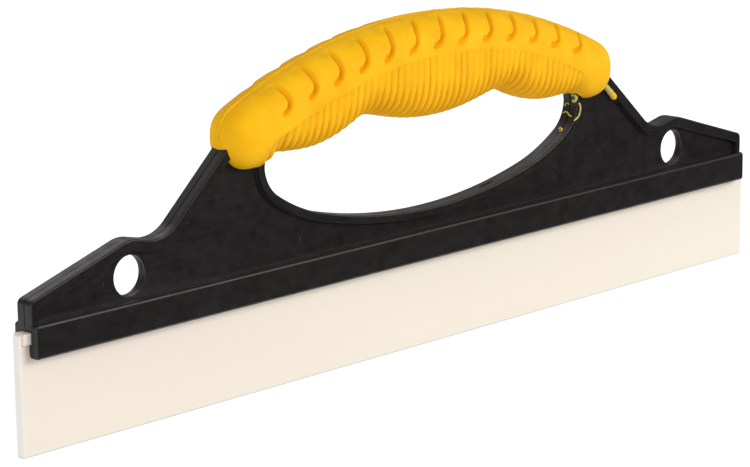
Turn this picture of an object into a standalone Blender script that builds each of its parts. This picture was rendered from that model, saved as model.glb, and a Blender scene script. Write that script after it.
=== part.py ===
"""Hand squeegee with a silicone strip: two frame halves, an overmoulded grip and a sliding blade.

Frame of reference, in metres: X runs along the blade, Y is front (-) to back (+), Z is up.
The origin is under the middle of the blade, on its wiping edge, with the handle upright.
"""
import math

import bmesh
import bpy
from mathutils import Vector

# ---- driving dimensions (metres, degrees) ----
FIT_GAP = 0.0003            # clear space between two pieces that touch
BAR_LENGTH = 0.320          # clamp bar that holds the blade
BAR_DEPTH = 0.0096          # over both halves, front to back
BAR_BOTTOM = 0.0277
BAR_TOP = 0.0374
BAR_ROUND = 0.0009
ROUND_CHAMFER = 0.3         # a three-point rounding passes this share of its radius from the face

RIM_DEPTH = 0.0062          # over both halves, front to back
RIM_WIDTH = 0.0033          # of the raised border round the outside, seen from the front
OPENING_RIM_WIDTH = 0.0025  # of the raised border round the finger opening
WEB_DEPTH = 0.0032          # of the sunk panel between the borders
END_WALL = 0.0024           # width of the border at the two short ends
PLATE_BOTTOM = 0.0363       # the plate is rooted in the roof of the clamp bar
END_CORNER_Z = 0.0438

HOLE_X = 0.123              # hanging holes, one at each end
HOLE_Z = 0.0443
HOLE_RADIUS = 0.0059
HOLE_SIDES = 32
HUMP_RADIUS = 0.0105        # outline concentric with the hanging hole
END_SLOPE = 17.6            # degrees, from the end corner up to the hump
VALLEY_CENTRE = (0.1142, 0.0654)
VALLEY_RADIUS = 0.0120
HUMP_TO_VALLEY = 12.0       # degrees
SHOULDER_SLOPE = 43.3       # degrees, from the valley up into the grip

CORE_TOP = 0.0988           # handle core inside the grip
CORE_TOP_RADIUS = 0.184
CORE_START_X = 0.080        # the shoulder turns into the core's upper arc here
POCKET_TOP = 0.0765         # the sunk panel ends at this height, inside the grip

OPENING_BOTTOM = 0.0437     # finger opening: arcs from its lowest point round to its highest
OPENING_ARCS = [            # radius, degrees turned
    (0.185, 14.8),
    (0.062, 18.7),
    (0.0119, 44.4),
    (0.0070, 85.8),
]
DEGREES_PER_STEP = 8.0      # of an arc of the opening

PIN_RADIUS = 0.0018         # locating pins between the halves, inside the grip
PIN_LENGTH = 0.0014
PIN_X = (-0.050, 0.0, 0.050)
PIN_Z = 0.0895
PIN_SIDES = 16

BLADE_LENGTH = 0.3264
BLADE_THICKNESS = 0.0029
BLADE_HEAD_WIDTH = 0.0046
BLADE_HEAD_BOTTOM = 0.0319
BLADE_HEAD_TOP = 0.0350
BLADE_HEAD_TRIM = 0.0010     # the head is cut this much shorter at each end
BLADE_HEAD_STEP = 0.0004     # and the strip's corner is this much lower there

GRIP_TOP = 0.1044           # crest of the grip over the middle of the handle
GRIP_TOP_RADIUS = 0.188
GRIP_END_CENTRE = (0.0772, 0.0772)
GRIP_END_RADIUS = 0.0096
GRIP_MIDDLE_LOBE = (0.0, 0.1486, 0.0760)      # x, z and radius of the middle finger swell
GRIP_OUTER_LOBE = (0.0560, 0.1083, 0.0380)    # x, z and radius of the two outer swells
GRIP_MIDDLE_HALF_WIDTH = 0.0115
GRIP_END_HALF_WIDTH = 0.0088
LOBE_BLEND = 0.0016         # height over which two swells melt into each other
GRIP_CREST_END = 25.0       # degrees round the end, where the crest's arc hands over to it
GRIP_STATIONS = 72
GRIP_STATION_EASE = 0.35    # share of the station spacing that crowds towards the ends
GRIP_SIDES = 32
GRIP_SQUARE_OUT = 0.9       # below 1 the section is squarer than an ellipse
GRIP_SQUARE_UP = 0.95

THUMB_NOTCHES = 13          # scooped notches along each shoulder of the grip
NOTCH_PITCH = 0.01125
NOTCH_DEPTH = 0.0009
NOTCH_LOW, NOTCH_HIGH = 20.0, 75.0   # degrees up from the side

BLACK = (0.018, 0.017, 0.017)
YELLOW = (0.90, 0.48, 0.02)
MILKY = (0.92, 0.88, 0.82)
BLACK_ROUGHNESS = 0.45
YELLOW_ROUGHNESS = 0.60
MILKY_ROUGHNESS = 0.35
SHARP_DEGREES = 35.0        # faces that meet at more than this keep a crisp edge

TINY = 1e-6
FRONT = -1
BACK = 1


# ---- helpers ----
def clear_scene():
    """Remove whatever the new file holds."""
    for old in list(bpy.data.objects):
        bpy.data.objects.remove(old, do_unlink=True)


def plastic(name, colour, roughness):
    """A Principled material with one colour."""
    material = bpy.data.materials.new(name)
    material.use_nodes = True
    shader = material.node_tree.nodes["Principled BSDF"]
    shader.inputs["Base Color"].default_value = (*colour, 1.0)
    shader.inputs["Roughness"].default_value = roughness
    material.diffuse_color = (*colour, 1.0)
    return material


def new_object(name, shape, material=None):
    """Put a finished bmesh into the scene as an object."""
    mesh = bpy.data.meshes.new(name)
    bmesh.ops.recalc_face_normals(shape, faces=shape.faces)
    shape.to_mesh(mesh)
    shape.free()
    result = bpy.data.objects.new(name, mesh)
    bpy.context.collection.objects.link(result)
    if material:
        mesh.materials.append(material)
    return result


def hide_cutter(cutter):
    """A cutter shapes other pieces and is not a piece itself."""
    cutter.hide_render = True
    cutter.display_type = "WIRE"


def combine(target, tool, operation):
    """Add or take away one solid from another."""
    boolean = target.modifiers.new(operation.title() + " " + tool.name, "BOOLEAN")
    boolean.operation = operation
    boolean.object = tool
    boolean.solver = "EXACT"
    hide_cutter(tool)


def round_shading(piece):
    """Smooth shading that keeps the true edges crisp."""
    piece.data.shade_smooth()
    piece.data.set_sharp_from_angle(angle=math.radians(SHARP_DEGREES))


def arc(centre, radius, start, end, steps):
    """Points of an arc in the XZ plane, with both ends, angles in degrees from +X."""
    points = []
    for step in range(steps + 1):
        angle = math.radians(start + (end - start) * step / steps)
        x = centre[0] + radius * math.cos(angle)
        z = centre[1] + radius * math.sin(angle)
        points.append((x, z))
    return points


def both_sides(right_side):
    """Close an outline that is drawn for +X only, from its lowest to its highest point."""
    left_side = [(-x, z) for x, z in reversed(right_side) if x > TINY]
    return right_side + left_side


def offset(outline, distance):
    """Move a closed anticlockwise outline outwards by a distance, inwards if negative."""
    count = len(outline)
    moved = []
    for index in range(count):
        before = Vector(outline[index - 1])
        here = Vector(outline[index])
        after = Vector(outline[(index + 1) % count])
        edge_in = (here - before).normalized()
        edge_out = (after - here).normalized()
        normal_in = Vector((edge_in.y, -edge_in.x))
        normal_out = Vector((edge_out.y, -edge_out.x))
        middle = (normal_in + normal_out).normalized()
        point = here + middle * distance / middle.dot(normal_in)
        moved.append((point.x, point.y))
    return moved


def slab(name, outline, near, far, material=None):
    """Extrude an XZ outline from one depth to another."""
    shape = bmesh.new()
    corners = [shape.verts.new((x, near, z)) for x, z in outline]
    face = shape.faces.new(corners)
    grown = bmesh.ops.extrude_face_region(shape, geom=[face])
    new_corners = [item for item in grown["geom"] if isinstance(item, bmesh.types.BMVert)]
    bmesh.ops.translate(shape, verts=new_corners, vec=(0.0, far - near, 0.0))
    return new_object(name, shape, material)


def rod(name, x, z, radius, near, far, sides):
    """A round bar along Y."""
    return slab(name, arc((x, z), radius, 0.0, 360.0 * (sides - 1) / sides, sides - 1), near, far)


def rectangle(width, low, high):
    """A YZ section centred on Y = 0."""
    return [(-width / 2, low), (width / 2, low), (width / 2, high), (-width / 2, high)]


def bar_along_x(name, section, length, material=None):
    """Extrude a YZ section along X, centred on X = 0."""
    shape = bmesh.new()
    corners = [shape.verts.new((-length / 2, y, z)) for y, z in section]
    face = shape.faces.new(corners)
    grown = bmesh.ops.extrude_face_region(shape, geom=[face])
    new_corners = [item for item in grown["geom"] if isinstance(item, bmesh.types.BMVert)]
    bmesh.ops.translate(shape, verts=new_corners, vec=(length, 0.0, 0.0))
    return new_object(name, shape, material)


# ---- outlines ----
def plate_outline(half_length):
    """Outer outline of the frame above the bar, anticlockwise seen from the front."""
    shoulder = 270.0 - SHOULDER_SLOPE
    arc_centre = (0.0, CORE_TOP - CORE_TOP_RADIUS)
    core_start = math.degrees(math.acos(CORE_START_X / CORE_TOP_RADIUS))
    end_corner_z = END_CORNER_Z - (half_length - BAR_LENGTH / 2) * math.tan(math.radians(END_SLOPE))
    right = [(0.0, PLATE_BOTTOM), (half_length, PLATE_BOTTOM), (half_length, end_corner_z)]
    right += arc((HOLE_X, HOLE_Z), HUMP_RADIUS, 90.0 - END_SLOPE, 90.0 + HUMP_TO_VALLEY, 6)
    right += arc(VALLEY_CENTRE, VALLEY_RADIUS, 270.0 + HUMP_TO_VALLEY, shoulder, 8)
    right += arc(arc_centre, CORE_TOP_RADIUS, core_start, 90.0, 10)
    return both_sides(right)


def opening_outline():
    """Finger opening, a chain of arcs that each start where and how the last one ended."""
    x = 0.0
    z = OPENING_BOTTOM
    heading = 0.0
    right = [(x, z)]
    for radius, turn in OPENING_ARCS:
        here = math.radians(heading)
        centre = (x - radius * math.sin(here), z + radius * math.cos(here))
        steps = max(4, round(turn / DEGREES_PER_STEP))
        right += arc(centre, radius, heading - 90.0, heading + turn - 90.0, steps)[1:]
        x, z = right[-1]
        heading += turn
    remaining = math.radians(180.0 - heading)
    closing_radius = x / math.sin(remaining)
    centre = (0.0, z - closing_radius * math.cos(remaining))
    right += arc(centre, closing_radius, heading - 90.0, 90.0, 8)[1:]
    return both_sides(right)


def pocket_outline():
    """Sunk panel between the outer border, the bar and a level inside the grip."""
    inner = offset(plate_outline(BAR_LENGTH / 2 + RIM_WIDTH - END_WALL), -RIM_WIDTH)
    right = [point for point in inner if point[0] > 0.0 and BAR_TOP < point[1] < POCKET_TOP]
    end_x = BAR_LENGTH / 2 - END_WALL
    right = [(0.0, BAR_TOP), (end_x, BAR_TOP)] + right
    low_x, low_z = right[-1]
    top_x = low_x - (POCKET_TOP - low_z) / math.tan(math.radians(SHOULDER_SLOPE))
    right += [(top_x, POCKET_TOP), (0.0, POCKET_TOP)]
    return both_sides(right)


# ---- frame ----
def bar_section(side):
    """Half of the clamp bar, with half of the T-shaped channel for the blade's head."""
    seam = side * FIT_GAP / 2
    face = side * BAR_DEPTH / 2
    neck = side * (BLADE_THICKNESS / 2 + FIT_GAP)
    head = side * (BLADE_HEAD_WIDTH / 2 + FIT_GAP)
    head_low = BLADE_HEAD_BOTTOM - FIT_GAP
    head_high = BLADE_HEAD_TOP + FIT_GAP
    rounded = side * (BAR_DEPTH / 2 - BAR_ROUND)
    chamfered = side * (BAR_DEPTH / 2 - BAR_ROUND * ROUND_CHAMFER)
    return [
        (neck, BAR_BOTTOM),
        (rounded, BAR_BOTTOM),
        (chamfered, BAR_BOTTOM + BAR_ROUND * ROUND_CHAMFER),
        (face, BAR_BOTTOM + BAR_ROUND),
        (face, BAR_TOP - BAR_ROUND),
        (chamfered, BAR_TOP - BAR_ROUND * ROUND_CHAMFER),
        (rounded, BAR_TOP),
        (seam, BAR_TOP),
        (seam, head_high),
        (head, head_high),
        (head, head_low),
        (neck, head_low),
    ]


def frame_half(name, side, material):
    """One moulded half: bar, bordered web and half of the handle core."""
    seam = side * FIT_GAP / 2
    rim_face = side * RIM_DEPTH / 2
    web_face = side * WEB_DEPTH / 2
    beyond = side * BAR_DEPTH
    half = bar_along_x(name, bar_section(side), BAR_LENGTH, material)

    plate = slab(name + "_plate", plate_outline(BAR_LENGTH / 2), seam, rim_face)
    pocket = slab(name + "_pocket", pocket_outline(), web_face, beyond)
    border = offset(opening_outline(), OPENING_RIM_WIDTH)
    island = slab(name + "_opening_border", border, 0.0, beyond * 2)
    combine(pocket, island, "DIFFERENCE")
    combine(plate, pocket, "DIFFERENCE")
    combine(half, plate, "UNION")

    opening = slab(name + "_opening", opening_outline(), -beyond, beyond * 2)
    combine(half, opening, "DIFFERENCE")
    for end in (-1, 1):
        hole = rod(name + "_hole", end * HOLE_X, HOLE_Z, HOLE_RADIUS, -beyond, beyond * 2, HOLE_SIDES)
        combine(half, hole, "DIFFERENCE")
    return half


def add_locating_pins(front_half, back_half):
    """Pins on the front half sit in blind sockets in the back half."""
    root = -RIM_DEPTH / 4
    for x in PIN_X:
        pin = rod("locating_pin", x, PIN_Z, PIN_RADIUS, root, PIN_LENGTH, PIN_SIDES)
        combine(front_half, pin, "UNION")
        socket_end = PIN_LENGTH + FIT_GAP
        socket = rod("pin_socket", x, PIN_Z, PIN_RADIUS + FIT_GAP, -RIM_DEPTH, socket_end, PIN_SIDES)
        combine(back_half, socket, "DIFFERENCE")


# ---- blade ----
def blade_piece(material):
    """Silicone strip with a T-shaped head along its upper edge."""
    strip_section = rectangle(BLADE_THICKNESS, 0.0, BLADE_HEAD_TOP - BLADE_HEAD_STEP)
    blade = bar_along_x("blade", strip_section, BLADE_LENGTH, material)
    head_section = rectangle(BLADE_HEAD_WIDTH, BLADE_HEAD_BOTTOM, BLADE_HEAD_TOP)
    head = bar_along_x("blade_head", head_section, BLADE_LENGTH - 2 * BLADE_HEAD_TRIM)
    combine(blade, head, "UNION")
    return blade


# ---- grip ----
def soft_minimum(first, second, blend):
    """The lower of two heights, rounded over where they cross."""
    return 0.5 * (first + second - math.sqrt((first - second) ** 2 + blend ** 2))


def lobe_height(lobe, x):
    """Underside of one finger swell, far away once x is outside it."""
    centre_x, centre_z, radius = lobe
    inside = radius ** 2 - (abs(x) - centre_x) ** 2
    return centre_z - math.sqrt(max(inside, 0.0))


def end_ball_reach(x):
    """Half height of the rounded end of the grip at a station."""
    inside = GRIP_END_RADIUS ** 2 - (abs(x) - GRIP_END_CENTRE[0]) ** 2
    return math.sqrt(max(inside, 0.0))


def grip_top(x):
    """Crest height of the grip."""
    handover = GRIP_END_CENTRE[0] + GRIP_END_RADIUS * math.sin(math.radians(GRIP_CREST_END))
    if abs(x) > handover:
        return GRIP_END_CENTRE[1] + end_ball_reach(x)
    return GRIP_TOP - GRIP_TOP_RADIUS + math.sqrt(GRIP_TOP_RADIUS ** 2 - x ** 2)


def grip_bottom(x):
    """Underside of the grip: three finger swells between two rounded ends."""
    end_ball = GRIP_END_CENTRE[1] - end_ball_reach(x)
    if abs(x) >= GRIP_END_CENTRE[0]:
        return end_ball
    swells = soft_minimum(lobe_height(GRIP_MIDDLE_LOBE, x), lobe_height(GRIP_OUTER_LOBE, x), LOBE_BLEND)
    return soft_minimum(swells, end_ball, LOBE_BLEND) + LOBE_BLEND / 4


def grip_half_width(x):
    """Half of the grip's depth, narrowing towards the ends and closing over them."""
    along = min(abs(x) / GRIP_END_CENTRE[0], 1.0)
    width = GRIP_MIDDLE_HALF_WIDTH + (GRIP_END_HALF_WIDTH - GRIP_MIDDLE_HALF_WIDTH) * along ** 2
    if abs(x) <= GRIP_END_CENTRE[0]:
        return width
    return width * end_ball_reach(x) / GRIP_END_RADIUS


def grip_stations():
    """Stations along X, close together where the ends round over."""
    reach = GRIP_END_CENTRE[0] + GRIP_END_RADIUS
    stations = []
    for step in range(1, GRIP_STATIONS):
        even = 2.0 * step / GRIP_STATIONS - 1.0
        eased = math.sin(even * math.pi / 2)
        stations.append(reach * ((1.0 - GRIP_STATION_EASE) * even + GRIP_STATION_EASE * eased))
    return stations


def notch_depth(x, angle):
    """Depth of the scooped thumb notches on both upper shoulders."""
    if not NOTCH_LOW < angle < NOTCH_HIGH:
        return 0.0
    position = x / NOTCH_PITCH + THUMB_NOTCHES / 2
    if not 0.0 < position < THUMB_NOTCHES:
        return 0.0
    fade = math.sin(math.pi * (angle - NOTCH_LOW) / (NOTCH_HIGH - NOTCH_LOW))
    return NOTCH_DEPTH * (position % 1.0) * fade


def grip_section(x):
    """Closed egg-shaped section of the grip at one station."""
    top = grip_top(x)
    bottom = grip_bottom(x)
    half_height = (top - bottom) / 2
    middle = (top + bottom) / 2
    half_width = grip_half_width(x)
    ring = []
    for side in range(GRIP_SIDES):
        angle = 2.0 * math.pi * side / GRIP_SIDES
        up = math.sin(angle)
        out = math.cos(angle)
        degrees_up = math.degrees(math.asin(up))
        shrink = 1.0 - notch_depth(x, degrees_up) / GRIP_MIDDLE_HALF_WIDTH
        y = math.copysign(abs(out) ** GRIP_SQUARE_OUT, out) * half_width * shrink
        z = math.copysign(abs(up) ** GRIP_SQUARE_UP, up) * half_height * shrink
        ring.append((x, y, middle + z))
    return ring


def grip_body(material):
    """Loft through the sections, closed by a pole at each end."""
    shape = bmesh.new()
    rings = []
    for x in grip_stations():
        rings.append([shape.verts.new(point) for point in grip_section(x)])
    for first, second in zip(rings, rings[1:]):
        for side in range(GRIP_SIDES):
            following = (side + 1) % GRIP_SIDES
            shape.faces.new((first[side], first[following], second[following], second[side]))
    reach = GRIP_END_CENTRE[0] + GRIP_END_RADIUS
    for ring, x in ((rings[0], -reach), (rings[-1], reach)):
        pole = shape.verts.new((x, 0.0, GRIP_END_CENTRE[1]))
        for side in range(GRIP_SIDES):
            shape.faces.new((ring[side], ring[(side + 1) % GRIP_SIDES], pole))
    return new_object("grip", shape, material)


def grip_piece(material):
    """Soft sleeve moulded round the handle core, which leaves the core's shape inside it."""
    grip = grip_body(material)
    clear = RIM_DEPTH / 2 + FIT_GAP
    hollow = slab("grip_hollow", offset(plate_outline(BAR_LENGTH / 2), FIT_GAP), -clear, clear)
    web_clear = WEB_DEPTH / 2 + FIT_GAP
    pocket = offset(pocket_outline(), -FIT_GAP)
    border = offset(opening_outline(), OPENING_RIM_WIDTH + FIT_GAP)
    for side in (FRONT, BACK):
        keep = slab("grip_pocket_fill", pocket, side * web_clear, side * BAR_DEPTH)
        island = slab("grip_island", border, 0.0, side * BAR_DEPTH * 2)
        combine(keep, island, "DIFFERENCE")
        combine(hollow, keep, "DIFFERENCE")
    window = slab("grip_window", offset(opening_outline(), -FIT_GAP), -BAR_DEPTH, BAR_DEPTH)
    combine(hollow, window, "DIFFERENCE")
    combine(grip, hollow, "DIFFERENCE")
    return grip


# ---- assembly ----
def build():
    """Model every piece."""
    clear_scene()
    front_half = frame_half("frame_front", FRONT, plastic("frame_front_plastic", BLACK, BLACK_ROUGHNESS))
    back_half = frame_half("frame_back", BACK, plastic("frame_back_plastic", BLACK, BLACK_ROUGHNESS))
    add_locating_pins(front_half, back_half)
    grip = grip_piece(plastic("grip_rubber", YELLOW, YELLOW_ROUGHNESS))
    blade = blade_piece(plastic("blade_silicone", MILKY, MILKY_ROUGHNESS))
    for piece in (front_half, back_half, grip, blade):
        round_shading(piece)


build()
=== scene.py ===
# %% [markdown]
# # A hand squeegee, piece by piece
# The squeegee is four pieces of plastic, rubber and silicone. Two black mouldings meet flat to flat
# and make the frame. A yellow rubber sleeve is moulded round the handle. A milky silicone blade has a
# T-shaped head that slides in a channel along the bottom of the frame.
# The CAD model holds the true sizes and the one motion, so this lesson loads it first and takes
# its sizes from there. Each piece is then remade with the roundings, seams, ribs, scoops and stray
# bits of rubber that the real mouldings have.

import math

import bmesh
import bpy
from mathutils import Matrix, Vector, noise


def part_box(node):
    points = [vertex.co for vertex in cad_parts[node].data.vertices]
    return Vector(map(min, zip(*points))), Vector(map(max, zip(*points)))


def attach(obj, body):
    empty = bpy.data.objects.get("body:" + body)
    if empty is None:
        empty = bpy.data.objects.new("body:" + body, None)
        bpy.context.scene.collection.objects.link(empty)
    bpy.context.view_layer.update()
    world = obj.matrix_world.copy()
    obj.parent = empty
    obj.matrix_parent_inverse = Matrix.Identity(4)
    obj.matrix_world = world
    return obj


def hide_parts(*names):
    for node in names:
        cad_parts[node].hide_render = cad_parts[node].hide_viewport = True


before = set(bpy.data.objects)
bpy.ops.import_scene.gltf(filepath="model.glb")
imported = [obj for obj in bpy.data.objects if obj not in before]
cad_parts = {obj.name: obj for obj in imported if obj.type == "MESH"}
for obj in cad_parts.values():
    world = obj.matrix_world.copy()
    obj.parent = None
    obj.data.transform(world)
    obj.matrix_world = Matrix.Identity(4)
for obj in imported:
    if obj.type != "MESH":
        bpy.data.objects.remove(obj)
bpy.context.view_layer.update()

# %% [markdown]
# ## Working in millimetres
# Blender's filling and merging tools compare distances against small fixed tolerances, and half a
# millimetre written in metres comes close to them. The pieces are therefore modelled in millimetres
# and brought to metres once, when each one is finished.

# %% Sizes that come from the CAD model
MM = 0.001


def box_mm(node):
    """Lowest and highest corner of a CAD node, in millimetres."""
    low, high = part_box(node)
    return low / MM, high / MM


frame_low, frame_high = box_mm("frame_front")
sleeve_high = box_mm("grip")[1]
blade_high = box_mm("blade")[1]

bar_half = frame_high.x           # half of the clamp bar's length
bar_face = -frame_low.y           # from the seam to the bar's front face
bar_bottom = frame_low.z
blade_half = blade_high.x
head_half = blade_high.y          # half width of the blade's T-shaped head
head_top = blade_high.z
print(f"bar {2 * bar_half:.1f} long, blade {2 * blade_half:.1f} long, crest at {sleeve_high.z:.1f} mm")

# %% [markdown]
# ## Putting a piece into the scene
# Every finished piece has its place in its mesh, and its object stays at the origin, unturned. It
# is smooth where faces meet gently and crisp where they meet at an edge. It rides on one body of
# the CAD model, stands for one or more CAD nodes and names the material slot it is painted from.

# %% One function that finishes any piece
def finish_mesh(mesh, sharp_degrees=32.0):
    """Smooth shading with crisp true edges."""
    mesh.shade_smooth()
    mesh.set_sharp_from_angle(angle=math.radians(sharp_degrees))


def place_piece(name, mesh, materials, body, nodes=()):
    """Link a finished mesh, in metres, as a piece of the squeegee."""
    piece = bpy.data.objects.new(name, mesh)
    bpy.context.scene.collection.objects.link(piece)
    for material in materials:
        mesh.materials.append(material)
    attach(piece, body)
    if nodes:
        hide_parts(*nodes)
    mesh.calc_loop_triangles()
    print(f"{name}: {len(mesh.vertices)} vertices, {len(mesh.loop_triangles)} triangles")
    return piece


def to_mesh(name, shape):
    """Turn a bmesh in millimetres into a mesh in metres, with its faces pointing outwards."""
    bmesh.ops.recalc_face_normals(shape, faces=shape.faces)
    bmesh.ops.scale(shape, vec=(MM, MM, MM), verts=shape.verts)
    mesh = bpy.data.meshes.new(name)
    shape.to_mesh(mesh)
    shape.free()
    return mesh

# %% [markdown]
# ## Rings that grow into walls
# A moulding's wall is easy to see as a stack of rings: the outline at the seam, the same outline at
# the rounded edge, a smaller one where the raised border ends. Extruding a ring of edges and moving
# the new ring into place is what a modeller does by hand with extrude and scale, and it keeps
# every edge loop clean, so roundings can be added exactly where they are wanted.

# %% Draw a ring, then extrude it ring by ring
def ring_edges(shape, ring):
    """The edges that join a closed ring of vertices."""
    return [shape.edges.get((a, b)) or shape.edges.new((a, b)) for a, b in zip(ring, ring[1:] + ring[:1])]


def skin(shape, rings):
    """Extrude the first ring into each following one; return the first and last ring's edges."""
    ring = [shape.verts.new(place) for place in rings[0]]
    first = ring_edges(shape, ring)
    for places in rings[1:]:
        grown = bmesh.ops.extrude_edge_only(shape, edges=ring_edges(shape, ring))["geom"]
        new = {item for item in grown if isinstance(item, bmesh.types.BMVert)}
        following = []
        for vert, place in zip(ring, places):
            neighbours = [edge.other_vert(vert) for edge in vert.link_edges]
            partner = next(neighbour for neighbour in neighbours if neighbour in new)
            partner.co = place
            following.append(partner)
        ring = following
    return first, ring_edges(shape, ring)


def arc(centre, radius, start, end, steps):
    """Points of an arc, with both ends, angles in degrees."""
    points = []
    for step in range(steps + 1):
        angle = math.radians(start + (end - start) * step / steps)
        points.append((centre[0] + radius * math.cos(angle), centre[1] + radius * math.sin(angle)))
    return points


def between(first, last, steps):
    """Evenly spaced points of a straight run, without its ends."""
    share = [step / steps for step in range(1, steps)]
    return [(first[0] + (last[0] - first[0]) * s, first[1] + (last[1] - first[1]) * s) for s in share]


def both_sides(right_side):
    """Close an outline that is drawn for +X only, from its lowest to its highest point."""
    return right_side + [(-x, z) for x, z in reversed(right_side) if x > 0.001]


def offset(outline, distance):
    """Move a closed anticlockwise outline outwards by a distance, inwards if negative."""
    moved = []
    for index, here in enumerate(outline):
        before = Vector(here) - Vector(outline[index - 1])
        after = Vector(outline[(index + 1) % len(outline)]) - Vector(here)
        normal_in = Vector((before.y, -before.x)).normalized()
        normal_out = Vector((after.y, -after.x)).normalized()
        middle = (normal_in + normal_out).normalized()
        point = Vector(here) + middle * distance / middle.dot(normal_in)
        moved.append((point.x, point.y))
    return moved


def smooth(low, high, value):
    """0 below low, 1 above high, and an S-shaped ramp between them."""
    share = min(max((value - low) / (high - low), 0.0), 1.0)
    return share * share * (3.0 - 2.0 * share)

# %% [markdown]
# ## The outlines of the frame
# Seen from the front, the frame above the bar is a chain of arcs and straight runs: a square end, a
# slope up to a hump round the hanging hole, a valley, a steep shoulder and a long arc that is
# hidden in the rubber. The finger opening is a chain of arcs that each start in the
# direction where the last one ended. Only half is drawn, because the frame is symmetric.

# %% Outline of the plate and of the finger opening
HOLE = (123.0, 44.3)              # hanging hole, x and z
HOLE_RADIUS = 5.9
HUMP_RADIUS = 10.5
END_CORNER_Z = 43.8
END_SLOPE = 17.6                  # degrees, from the end corner up to the hump
VALLEY = (114.2, 65.4)
VALLEY_RADIUS = 12.0
HUMP_TO_VALLEY = 12.0             # degrees
SHOULDER_SLOPE = 43.3             # degrees
CORE_TOP = 98.8
CORE_RADIUS = 184.0
CORE_START_X = 80.0
PLATE_ROOT = 35.45                # the plate's foot, inside the roof of the clamp bar

OPENING_BOTTOM = 43.7
OPENING_ARCS = [(185.0, 14.8, 44), (62.0, 18.7, 18), (11.9, 44.4, 18), (7.0, 85.8, 18)]


def plate_outline(half_length, corner_radius):
    """Outer outline of the frame above the bar, anticlockwise seen from the front."""
    turn = 90.0 - END_SLOPE
    corner_z = END_CORNER_Z - (half_length - bar_half) * math.tan(math.radians(END_SLOPE))
    tangent = corner_radius * math.tan(math.radians(turn / 2))
    corner = arc((half_length - corner_radius, corner_z - tangent), corner_radius, 0.0, turn, 6)
    hump = arc(HOLE, HUMP_RADIUS, turn, 90.0 + HUMP_TO_VALLEY, 14)
    valley = arc(VALLEY, VALLEY_RADIUS, 270.0 + HUMP_TO_VALLEY, 270.0 - SHOULDER_SLOPE, 24)
    core_start = math.degrees(math.acos(CORE_START_X / CORE_RADIUS))
    core = arc((0.0, CORE_TOP - CORE_RADIUS), CORE_RADIUS, core_start, 90.0, 30)
    right = [(0.0, PLATE_ROOT), (half_length, PLATE_ROOT)]
    right += corner + between(corner[-1], hump[0], 34) + hump + between(hump[-1], valley[0], 4)
    right += valley + between(valley[-1], core[0], 30) + core
    return both_sides(right)


def opening_outline():
    """Finger opening, anticlockwise from its lowest point."""
    x, z, heading = 0.0, OPENING_BOTTOM, 0.0
    right = [(x, z)]
    for radius, turn, steps in OPENING_ARCS:
        here = math.radians(heading)
        centre = (x - radius * math.sin(here), z + radius * math.cos(here))
        right += arc(centre, radius, heading - 90.0, heading + turn - 90.0, steps)[1:]
        x, z = right[-1]
        heading += turn
    remaining = math.radians(180.0 - heading)
    radius = x / math.sin(remaining)
    centre = (0.0, z - radius * math.cos(remaining))
    right += arc(centre, radius, heading - 90.0, 90.0, 40)[1:]
    return both_sides(right)


print("points in the outlines:", len(plate_outline(bar_half, 1.0)), len(opening_outline()))

# %% [markdown]
# ## The raised border, as a profile
# A raised border runs round the frame's edge and round the opening. Cut through, it
# starts at the seam with a small chamfer, rises as a wall, turns over a rounded edge, is flat for
# two or three millimetres, and drops through a second rounding and a small fillet to the sunk web. The
# profile is written once, as distance in from the edge and depth from the seam. Extra rings close
# to each rounding keep the shading of the flat faces flat.
# Where the two halves were joined badly, the seam gapes a little. One such lens-shaped gap lies on the
# lower edge of the opening, and the rest of the seam wanders slightly.

# %% Profile of the border
RIM_WIDTH = 3.3                   # of the border round the outside
OPENING_RIM_WIDTH = 2.5           # of the border round the finger opening
RIM_DEPTH = 3.1                   # from the seam to the border's face
WEB_DEPTH = 1.6                   # from the seam to the sunk web
END_WALL = 2.4                    # the border is narrower at the two short ends
SEAM_GAP = 0.05
SEAM_LIP = 0.20
SEAM_DRIFT = 0.05                 # how far the lip of the seam may stray
SEAM_DRIFT_SCALE = 0.35
EDGE_ROUND = 0.45
HOLE_ROUND = 0.25
STEP_ROUND = 0.30
CORNER_ROUND = 1.9
HOLD = 0.15                       # distance of a holding ring from a rounding
LENS_X = 29.3
LENS_HALF_LENGTH = 3.2
LENS_DEPTH = 0.5
LENS_BELOW = OPENING_BOTTOM + 8.0


def border_profile(width):
    """(distance in, depth) from the seam over a raised border of some width to the web."""
    outer = arc((EDGE_ROUND, RIM_DEPTH - EDGE_ROUND), EDGE_ROUND, 180.0, 90.0, 5)
    inner = arc((width - STEP_ROUND, RIM_DEPTH - STEP_ROUND), STEP_ROUND, 90.0, 0.0, 4)
    foot = arc((width + STEP_ROUND, WEB_DEPTH + STEP_ROUND), STEP_ROUND, 180.0, 270.0, 4)
    profile = [(SEAM_LIP + 0.1, SEAM_GAP), (0.0, SEAM_LIP + SEAM_GAP), (0.0, SEAM_LIP + SEAM_GAP + HOLD)]
    profile += [(0.0, outer[0][1] - HOLD)] + outer + [(outer[-1][0] + HOLD, RIM_DEPTH)]
    profile += [(inner[0][0] - HOLD, RIM_DEPTH)] + inner + [(width, inner[-1][1] - HOLD)]
    profile += [(width, foot[0][1] + HOLD)] + foot + [(foot[-1][0] + 0.1, WEB_DEPTH)]
    return profile


def hole_profile():
    """(distance in, depth) from the seam to the web for a plain hole."""
    edge = arc((HOLE_ROUND, WEB_DEPTH - HOLE_ROUND), HOLE_ROUND, 180.0, 90.0, 4)
    return [(SEAM_LIP, SEAM_GAP), (0.0, SEAM_LIP + SEAM_GAP), (0.0, 0.4), (0.0, 0.9)] + edge


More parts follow.
